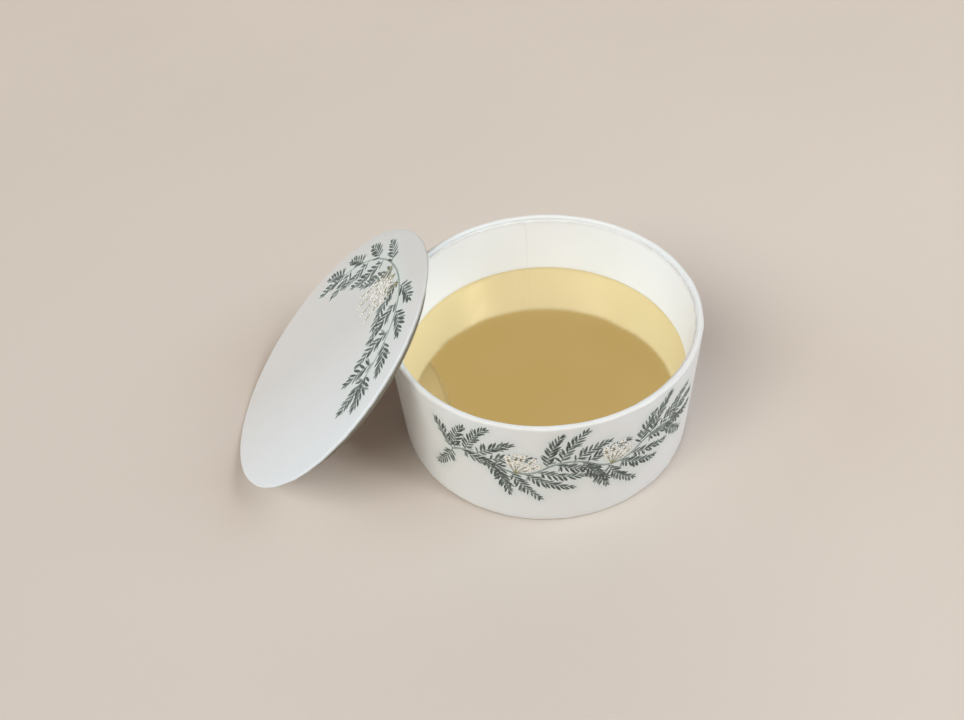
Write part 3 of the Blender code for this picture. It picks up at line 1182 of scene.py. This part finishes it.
class Stamps:
    """The shapes that the print repeats, each modelled once at unit size.

    Attributes:
        leaf: A lance leaf, one unit long.
        ribbon: A strip of stem, one unit long.
        blossom: Five round petals, one unit in radius.
        dot: A round dot, one unit in radius.
    """

    def __init__(self) -> None:
        """Model the shapes."""
        self.leaf = self._strip("leaf_stamp", 8, self._lance)
        self.ribbon = self._strip("ribbon_stamp", 1, lambda share: 1.0)
        self.dot = self._disc("dot_stamp", [(0.0, 0.0)], 1.0, 10)
        turns = [turn * TURN / 5 for turn in range(5)]
        places = [(0.58 * math.cos(turn), 0.58 * math.sin(turn)) for turn in turns]
        self.blossom = self._disc("blossom_stamp", places, 0.42, 8)

    @staticmethod
    def _lance(share: float) -> float:
        """Return a lance leaf's width at a share of its length, as a share of the widest."""
        return max((share**0.75) * ((1 - share) ** 0.8) * 1.92, 0.03)

    def _strip(self, name: str, steps: int, width: Callable[[float], float]) -> bpy.types.Mesh:
        """Model a flat closed strip from x 0 to 1, as wide at each place as the rule says."""
        strip = add_primitive("grid", name, x_subdivisions=steps, y_subdivisions=2, size=1)
        for vertex in strip.data.vertices:
            vertex.co.x += 0.5
            vertex.co.y *= width(vertex.co.x)
        give_thickness(strip, 1.0)
        paint(strip, "along", lambda point: point.x)
        paint(strip, "across", lambda point: 2 * point.y / width(min(max(point.x, 0.0), 1.0)))
        return self._keep(strip)

    def _disc(
        self, name: str, places: Sequence[Point], radius: float, corners: int
    ) -> bpy.types.Mesh:
        """Model flat closed discs at these places."""
        discs = []
        shape = {"vertices": corners, "radius": radius, "fill_type": "TRIFAN"}
        for place in places:
            disc = add_primitive("circle", name, location=(*place, 0), **shape)
            settle(disc)
            give_thickness(disc, 1.0)
            paint(disc, "along", lambda point: (point.xy - Vector(place)).length / radius)
            paint(disc, "across", lambda point: 1.0)
            discs.append(disc)
        return self._keep(joined(name, discs) if len(discs) > 1 else discs[0])

    @staticmethod
    def _keep(model: Piece) -> bpy.types.Mesh:
        """Keep a model's mesh and remove its object."""
        paint(model, "tone", lambda point: 0.0)
        mesh = model.data
        mesh.use_fake_user = True
        bpy.data.objects.remove(model, do_unlink=True)
        return mesh


@dataclass
class Garland:
    """A garland printed on one paper.

    Attributes:
        name: The start of its pieces' names.
        body: The body that it rides on.
        ground: Gives the point at a distance across, up and above the paper.
        finishes: The materials.
        stamps: The shapes that it repeats.
        seed: Seed of its small differences.
        lift: Height of the lowest ink's face above the paper.
        layer: Height that each next layer of ink adds.
        sink: Depth of the ink in the paper.
        halo: How far the pale wash reaches from the print's stems.
    """

    name: str
    body: Body
    ground: Callable[[float, float, float], Vector]
    finishes: Finishes
    stamps: Stamps
    seed: int
    lift: float = 0.00003
    layer: float = 0.000004
    sink: float = 0.00006
    halo: float = 0.011

    def __post_init__(self) -> None:
        """Start with no shapes."""
        self.draws = random.Random(self.seed)
        self.shapes: dict[Ink, list[Piece]] = {ink: [] for ink in Ink}
        self.trail: list[Vector] = []
        self.count = 0

    def stamp(
        self, ink: Ink, mesh: bpy.types.Mesh, spot: Spot, size: Point, tone: float, order: Order,
        bow: float = 0.0,
    ) -> None:
        """Lay a copy of a stamp on the paper.

        Args:
            ink: The ink that it is printed in.
            mesh: The stamp.
            spot: Where its origin lies and where its length points.
            size: Its length and its width.
            tone: How far it leans to the ink's wash, from 0 to 1.
            order: What it lies over.
            bow: How far its tip bends aside.
        """
        copy = mesh.copy()
        self.count += 1
        face = self.lift + self.layer * (LAYERS * order + self.count % LAYERS)
        for vertex in copy.vertices:
            ahead, aside, height = vertex.co
            place = spot.moved(ahead * size[0], aside * size[1] + bow * ahead * ahead)
            vertex.co = self.ground(place.across, place.up, face if height > -0.5 else -self.sink)
        copy.attributes["tone"].data.foreach_set("value", [tone] * len(copy.vertices))
        self.shapes[ink].append(link(ink.value, copy))

    def add_ribbons(
        self, twig: Twig, ink: Ink, wide: float, narrow: float, steps: int, order: Order
    ) -> list[Spot]:
        """Lay ribbons end to end along a twig, narrower towards its tip.

        Args:
            twig: Their line.
            ink: The ink that they are printed in.
            wide: Width at the root.
            narrow: Width at the tip.
            steps: How many ribbons there are.
            order: What they lie over.

        Returns:
            The twig's spots.
        """
        spots = twig.trace(steps)
        pitch = twig.length / steps
        for k, spot in enumerate(spots[:-1]):
            size = (pitch * 1.16, wide + (narrow - wide) * k / steps)
            start = twig.step(spot, k, steps).moved(-0.08 * pitch, 0)
            self.stamp(ink, self.stamps.ribbon, start, size, self.draws.uniform(0.0, 0.4), order)
        return spots

    def add_stem(self, twig: Twig, wide: float, narrow: float, steps: int) -> list[Spot]:
        """Lay a stem along a twig, with the wash round it, and return its spots."""
        spots = self.add_ribbons(twig, Ink.STEM, wide, narrow, steps, Order.STEM)
        self.trail += [self.ground(spot.across, spot.up, 0.0) for spot in spots]
        return spots

    def add_leaf(self, spot: Spot, length: float, tone: float, order: Order = Order.LEAF) -> None:
        """Lay a lance leaf of this length, with its own slight bow and tone.

        Args:
            spot: Its foot and heading.
            length: Its length.
            tone: How pale it is, from 0 to 1.
            order: What it lies over.
        """
        width = length * self.draws.uniform(0.33, 0.41)
        own_tone = min(max(self.draws.gauss(tone, 0.09), 0.0), 1.0)
        bow = length * self.draws.uniform(-0.12, 0.12)
        self.stamp(Ink.LEAF, self.stamps.leaf, spot, (length, width), own_tone, order, bow)

    def add_sprig(self, twig: Twig, leaf: float, pairs: int) -> None:
        """Lay a leafy twig, with faint leaves behind its dark ones.

        Args:
            twig: Its stem.
            leaf: Length of its longest leaves.
            pairs: How many pairs of leaves it has.
        """
        steps = pairs * 2
        spots = self.add_stem(twig, 0.0009, 0.0004, steps)
        shaded = self.draws.choice((-1, 1))
        for k in range(1, pairs + 1):
            share = k / pairs
            size = leaf * (0.72 + 0.34 * math.sin(math.pi * share**0.75))
            for side in (-1, 1):
                spread = math.radians(self.draws.uniform(38, 54)) * (1 - 0.35 * share)
                length = size * self.draws.uniform(0.84, 1.14)
                spot = spots[min(2 * k - (side > 0), steps)]
                self.add_leaf(spot.turned(side * spread), length, 0.02 if side == shaded else 0.24)
                if (k + side) % 4 == 0:
                    turn = side * (spread + math.radians(self.draws.uniform(14, 26)))
                    self.add_leaf(spot.turned(turn), length * 0.95, 0.85, Order.PALE)
        self.add_leaf(spots[-1], leaf * 0.75, 0.1)

    def add_blossom(self, spot: Spot, radius: float) -> None:
        """Lay a five-petalled blossom, outlined by its own faint shade, with a green-gold eye."""
        turned = spot.turned(self.draws.uniform(0, TURN))
        petals, shaded, eye = self.stamps.blossom, radius * 1.16, radius * 0.3
        self.stamp(Ink.STEM, petals, turned, (shaded, shaded), 0.9, Order.STALK)
        tone = self.draws.uniform(0.0, 0.6)
        self.stamp(Ink.PETAL, petals, turned, (radius, radius), tone, Order.PETAL)
        self.stamp(Ink.STALK, self.stamps.dot, spot, (eye, eye), tone, Order.EYE)

    def add_bud(self, spot: Spot, radius: float) -> None:
        """Lay a round bud on its short stalk."""
        foot, stalk = spot.moved(-radius * 2.4, 0), (radius * 2.2, 0.0004)
        tone, dot = self.draws.uniform(0.0, 0.9), self.stamps.dot
        self.stamp(Ink.STALK, self.stamps.ribbon, foot, stalk, tone, Order.STALK)
        self.stamp(Ink.STEM, dot, spot, (radius * 1.35, radius * 1.2), 0.8, Order.STALK)
        self.stamp(Ink.PETAL, dot, spot, (radius * 1.1, radius * 0.95), tone, Order.PETAL)

    def add_umbel(self, root: Spot, reach: float, arms: int = 5) -> None:
        """Lay a loose head of blossoms and buds on forked stalks.

        Args:
            root: Where the stalks meet, heading to the head's middle.
            reach: Length of its stalks.
            arms: How many stalks it has.
        """
        for arm in range(arms):
            place = arm - (arms - 1) / 2
            turn = math.radians(22 * place + self.draws.uniform(-5, 5))
            length = reach * self.draws.uniform(0.84, 1.05) * (1 - 0.07 * abs(place))
            twig = Twig(root.turned(turn), length, -turn * 0.4)
            spots = self.add_ribbons(twig, Ink.STALK, 0.0005, 0.0004, 8, Order.STALK)
            for spot in spots[3:8]:
                for side in (-1, 1):
                    bud = spot.turned(side * math.radians(48)).moved(0.0020, 0)
                    self.add_bud(bud, self.draws.uniform(0.0006, 0.0009))
            self.add_blossom(spots[-1], self.draws.uniform(0.0017, 0.0022))
            self.add_blossom(spots[5].moved(0, 0.0004), self.draws.uniform(0.0013, 0.0016))

    def wash(self, paper: Piece, place: Matrix = Matrix()) -> None:
        """Paint the pale wash round the print on its paper.

        Args:
            paper: The finished paper.
            place: Where the print's own frame lies.
        """
        tree = kdtree.KDTree(len(self.trail))
        for index, point in enumerate(self.trail):
            tree.insert(place @ point, index)
        tree.balance()
        paint(paper, "wash", lambda point: 0.75 * near(tree.find(point)[2], self.halo))

    def finish(self, after: Callable[[Piece], None] | None = None) -> None:
        """Join each ink's shapes into one piece and dress it.

        Args:
            after: What is done with each joined piece, such as leaning it.
        """
        for ink, shapes in self.shapes.items():
            piece = joined(f"{self.name}_{ink.value}", shapes)
            if after:
                after(piece)
            shade(piece, INK_ANGLE)
            self.finishes.dress(piece, Look[ink.name], self.body)


@dataclass
class WallGarland:
    """A running vine across the front of the wall, with leafy sprigs and blossoms.

    Attributes:
        box: The box's papers, which it is printed on.
        stamps: The shapes of the print.
        level: Height of the vine's middle line.
        start: Where the vine starts, across from the middle of the front.
        half_waves: How many half waves it runs through.
        half_wave: Length along the stem of one half wave.
        swing: How far the stem's heading swings to each side, in radians.
        leaf: Length of its longest leaves.
        pitch: Length of sprig for each pair of leaves.
        highest: Height that the side sprigs are kept below.
        lowest: Height that they are kept above.
    """

    box: BoxPapers
    stamps: Stamps
    level: float = 0.055
    start: float = -0.058
    half_waves: int = 5
    half_wave: float = 0.0315
    swing: float = math.radians(42)
    leaf: float = 0.0062
    pitch: float = 0.0031
    highest: float = 0.083
    lowest: float = 0.008

    def on_wall(self, across: float, up: float, lift: float) -> Vector:
        """Return the point of the wall at a distance across from the middle of its front."""
        bearing = across / self.box.radius - TURN / 4
        return around(bearing, self.box.surface(bearing, up) + lift, up)

    def build(self, paper: Piece) -> None:
        """Print the vine on the wall's paper."""
        garland = Garland("wall", Body.BOX, self.on_wall, self.box.finishes, self.stamps, seed=41)
        spot = Spot(self.start, self.level, self.swing)
        for turn, length, curl in ((104, 0.022, 20), (250, 0.026, -20)):
            tail = Twig(spot.turned(math.radians(turn) - self.swing), length, math.radians(curl))
            garland.add_sprig(tail, self.leaf, round(length / self.pitch))
        for k in range(self.half_waves):
            side = 1 if k % 2 else -1
            spots = garland.add_stem(
                Twig(spot, self.half_wave, side * 2 * self.swing), 0.0016, 0.0014, 12
            )
            for step in (1, 4, 7, 10):
                self._add_side_sprig(garland, spots[step], -side)
            if k % 2:
                garland.add_umbel(spots[5].turned(side * math.radians(80)), 0.019)
            else:
                self._add_side_sprig(garland, spots[3], side)
                self._add_side_sprig(garland, spots[9], side)
            spot = Spot(spots[-1].across, spots[-1].up, spot.heading + side * 2 * self.swing)
        garland.add_sprig(Twig(spot.turned(0.35), 0.024, math.radians(20)), self.leaf, 8)
        garland.wash(paper)
        garland.finish()

    def _add_side_sprig(self, garland: Garland, spot: Spot, side: int) -> None:
        """Add a sprig that leaves the vine on one side and bends towards its tip."""
        root = spot.turned(side * math.radians(garland.draws.uniform(44, 58)))
        upwards = math.sin(root.heading) > 0
        reach = self.highest - spot.up if upwards else spot.up - self.lowest
        length = min(garland.draws.uniform(0.023, 0.031), reach / 0.75)
        twig = Twig(root, length, -side * math.radians(garland.draws.uniform(18, 34)))
        garland.add_sprig(twig, self.leaf, round(length / self.pitch))


@dataclass
class LidGarland:
    """A half wreath that follows the lid's upper edge, with blossoms inside it.

    Attributes:
        lid: The lid's papers, which it is printed on.
        stamps: The shapes of the print.
        ring: Radius of the wreath's stem.
        middle: Direction of the wreath's middle from the lid's centre.
        sweep: Angle that each of its two arms spans.
    """

    lid: LidPapers
    stamps: Stamps
    ring: float = 0.073
    middle: float = math.radians(18)
    sweep: float = math.radians(66)

    def on_lid(self, across: float, up: float, lift: float) -> Vector:
        """Return the point of the lid's top, in the lid's own frame."""
        crown = self.lid.crown(math.atan2(up, across), math.hypot(across, up))
        return Vector((across, up, self.lid.top + crown + lift))

    def _spot(self, radius: float, turn: float) -> Spot:
        """Return the spot at this radius on the wreath's middle line, headed this turn off it."""
        across, up = radius * math.cos(self.middle), radius * math.sin(self.middle)
        return Spot(across, up, self.middle + turn)

    def build(self, paper: Piece) -> None:
        """Print the wreath on the lid's paper."""
        garland = Garland("lid", Body.LID, self.on_lid, self.lid.finishes, self.stamps, seed=42)
        for side in (-1, 1):
            self._add_arm(garland, side)
        heart = self._spot(self.ring - 0.002, math.pi)
        for turn, aside, reach in ((-30, 0.013, 0.032), (0, 0.0, 0.040), (30, -0.013, 0.032)):
            garland.add_umbel(heart.moved(0, aside).turned(math.radians(turn)), reach, 4)
        garland.wash(paper, self.lid.place)
        garland.finish(self.lid.lean)

    def _add_arm(self, garland: Garland, side: int) -> None:
        """Add one arm of the wreath, which runs round from its middle and thins out.

        Args:
            garland: The print.
            side: 1 for the arm that runs anticlockwise, -1 for the other.
        """
        root = self._spot(self.ring, side * TURN / 4)
        arm = Twig(root, self.ring * self.sweep, side * self.sweep)
        steps = 30
        spots = garland.add_stem(arm, 0.0014, 0.0009, steps)
        for k in range(3, steps - 2, 8):
            inner = garland.draws.uniform(0.031, 0.037) * (1 - k / 90)
            outer = garland.draws.uniform(0.020, 0.023)
            turn = math.radians(garland.draws.uniform(52, 62))
            inwards = Twig(spots[k].turned(side * turn), inner, -side * math.radians(20))
            outwards = Twig(spots[k + 3].turned(-side * turn * 0.6), outer, side * math.radians(24))
            garland.add_sprig(inwards, 0.0080, round(inner / 0.0042))
            garland.add_sprig(outwards, 0.0078, 6)
        garland.add_sprig(Twig(spots[-1], 0.026, side * math.radians(16)), 0.0076, 7)


LAMP_DISTANCE = 1.6


@dataclass
class Studio:
    """A plain floor, soft lamps, the surround and the camera.

    Attributes:
        floor_colour: Colour of the floor, linear.
        surround: Colour that the camera and gloss see beyond the floor.
        overhead: Colour that gloss sees straight above.
        horizon: Light that comes in level.
        zenith: Light that comes from above.
        bounce: Light that paper gets by way of the gold, cool enough to leave the liner white.
    """

    floor_colour: Colour = (0.635, 0.572, 0.497)
    surround: Colour = (0.66, 0.62, 0.58)
    overhead: Colour = (0.545, 0.46, 0.29)
    horizon: Colour = (0.12, 0.03, 0.0)
    zenith: Colour = (0.12, 0.04, 0.0)
    bounce: Colour = (1.20, 1.45, 2.40)

    def build_floor(self) -> None:
        """Build the floor, with painted shade by the box and painted light paler towards the back.
        """
        floor = add_primitive("plane", "floor", size=4, location=(0, 0, -0.0001))
        material, graph, point = new_material("floor_painted_light")
        # Painted light: the floor grows paler towards the back, in slow patches.
        slow = graph.remap(graph.noise(point, 3.0, 2.0), 0.3, 0.7, 0.75, 1.0)
        away = graph.remap(graph.add("SeparateXYZ", point).outputs["Y"], -0.2, 0.9)
        far = graph.maths("MULTIPLY", away, slow)
        colour = graph.mix(far, self.floor_colour, tinted(self.floor_colour, 1.17))
        # Painted shade: darker round a spot just in front of the box.
        offset = graph.add("VectorMath", point, (0.0, -0.13, 0.0), operation="DISTANCE")
        close = graph.remap(offset.outputs["Value"], 0.04, 0.2, 1.0, 0.0)
        colour = graph.mix(close, colour, tinted(self.floor_colour, 0.92))
        graph.principled(Base_Color=colour, Roughness=0.7, Specular_IOR_Level=0.15)
        floor.data.materials.append(material)

    def build_world(self) -> None:
        """Build the surround: one look for the camera and gloss, one light for the rest."""
        world = bpy.data.worlds.new("surround")
        bpy.context.scene.world = world
        world.use_nodes = True
        graph = Graph(world.node_tree)
        direction = graph.add("TexCoord").outputs["Generated"]
        rise = graph.add("SeparateXYZ", direction).outputs["Z"]
        colour = graph.mix(graph.remap(rise, 0.25, 0.6), self.surround, self.overhead)
        seen = graph.feed(world.node_tree.nodes["Background"], Color=colour, Strength=1.0)
        sky = graph.mix(graph.remap(rise, 0.2, 0.9), self.horizon, self.zenith)
        path = graph.add("LightPath").outputs
        gloss = graph.maths("MAXIMUM", path["Is Glossy Ray"], path["Is Transmission Ray"])
        light = graph.add("Background", graph.mix(gloss, sky, self.bounce), 1.0)
        direct = graph.maths("LESS_THAN", path["Diffuse Depth"], 0.5)
        seen_in_gloss = graph.maths("MULTIPLY", gloss, direct)
        shown = graph.maths("MAXIMUM", path["Is Camera Ray"], seen_in_gloss)
        mixer = graph.add("MixShader", shown, light.outputs[0], seen.outputs[0])
        graph.feed(world.node_tree.nodes["World Output"], Surface=mixer.outputs[0])

    @staticmethod
    def add_lamp(
        name: str, kind: str, bearing: float, rise: float, power: float, colour: Colour,
        **settings: object,
    ) -> None:
        """Add a soft lamp that faces the box.

        Args:
            name: The lamp's name.
            kind: Blender's kind of lamp. Gloss shows an area lamp and no other.
            bearing: Its direction from the box, in degrees from +X.
            rise: Its height above the floor, in degrees.
            power: Its energy.
            colour: Its colour.
            **settings: Its size.
        """
        lamp = bpy.data.lights.new(name, kind)
        for label, value in {"energy": power, "color": colour, **settings}.items():
            setattr(lamp, label, value)
        lift = math.radians(rise)
        away = around(math.radians(bearing), math.cos(lift), math.sin(lift))
        holder = link(name, lamp)
        holder.location = away * LAMP_DISTANCE
        holder.rotation_euler = away.to_track_quat("Z", "Y").to_euler()
        holder.visible_glossy = kind == "AREA"

    def build_lamps(self) -> None:
        """Hang three broad soft lamps round the box, and soft strips that the gloss shows."""
        soft = {"angle": math.radians(40)}
        self.add_lamp("key", "SUN", -135, 46, 1.84, (0.92, 0.94, 0.90), **soft)
        self.add_lamp("right_fill", "SUN", 0, 38, 1.42, (0.77, 0.92, 1.03), **soft)
        self.add_lamp("left_fill", "SUN", 180, 18, 1.0, (0.78, 0.90, 1.10), **soft)
        strip = {"shape": "RECTANGLE", "size": 0.28, "size_y": 0.8}
        self.add_lamp("left_strip", "AREA", -139, 44, 2.4, (0.92, 0.93, 1.0), **strip)
        self.add_lamp("right_strip", "AREA", -30, 44, 7.5, (0.92, 0.93, 1.0), **strip)

    @staticmethod
    def build_camera() -> None:
        """Set the camera where the photograph was taken from."""
        place = Vector((0, -0.35181, 0.40963))
        yaw, pitch, roll = math.radians(-6.70), math.radians(45.96), math.radians(-6.08)
        forward = Vector(
            (math.sin(yaw) * math.cos(pitch), math.cos(yaw) * math.cos(pitch), -math.sin(pitch))
        )
        level = Vector((math.cos(yaw), -math.sin(yaw), 0))
        upright = level.cross(forward)
        right = level * math.cos(roll) + upright * math.sin(roll)
        up = upright * math.cos(roll) - level * math.sin(roll)
        camera = link("camera", bpy.data.cameras.new("camera"))
        camera.data.sensor_width = 36.0
        camera.data.lens = 27.75
        turn = Matrix((right, up, -forward)).transposed().to_4x4()
        camera.matrix_world = Matrix.Translation(place) @ turn
        bpy.context.scene.camera = camera

    def build(self) -> None:
        """Build the whole studio."""
        self.build_floor()
        self.build_world()
        self.build_lamps()
        self.build_camera()
        bpy.context.scene.view_settings.view_transform = "Standard"


def main() -> None:
    """Build the studio, the finishes and every piece, and note the sizes."""
    logging.basicConfig(level=logging.INFO, format="%(message)s")
    Studio().build()
    finishes = Finishes()
    for node in ("wall_board", "base_board", "support_ring", "tray_board", "lid_board"):
        finishes.coat(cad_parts[node], Look.BOARD)
    box = BoxPapers(finishes)
    wall_paper = box.build()
    lid = LidPapers(finishes)
    lid_paper = lid.build()
    stamps = Stamps()
    WallGarland(box, stamps).build(wall_paper)
    LidGarland(lid, stamps).build(lid_paper)


if __name__ == "__main__":
    main()
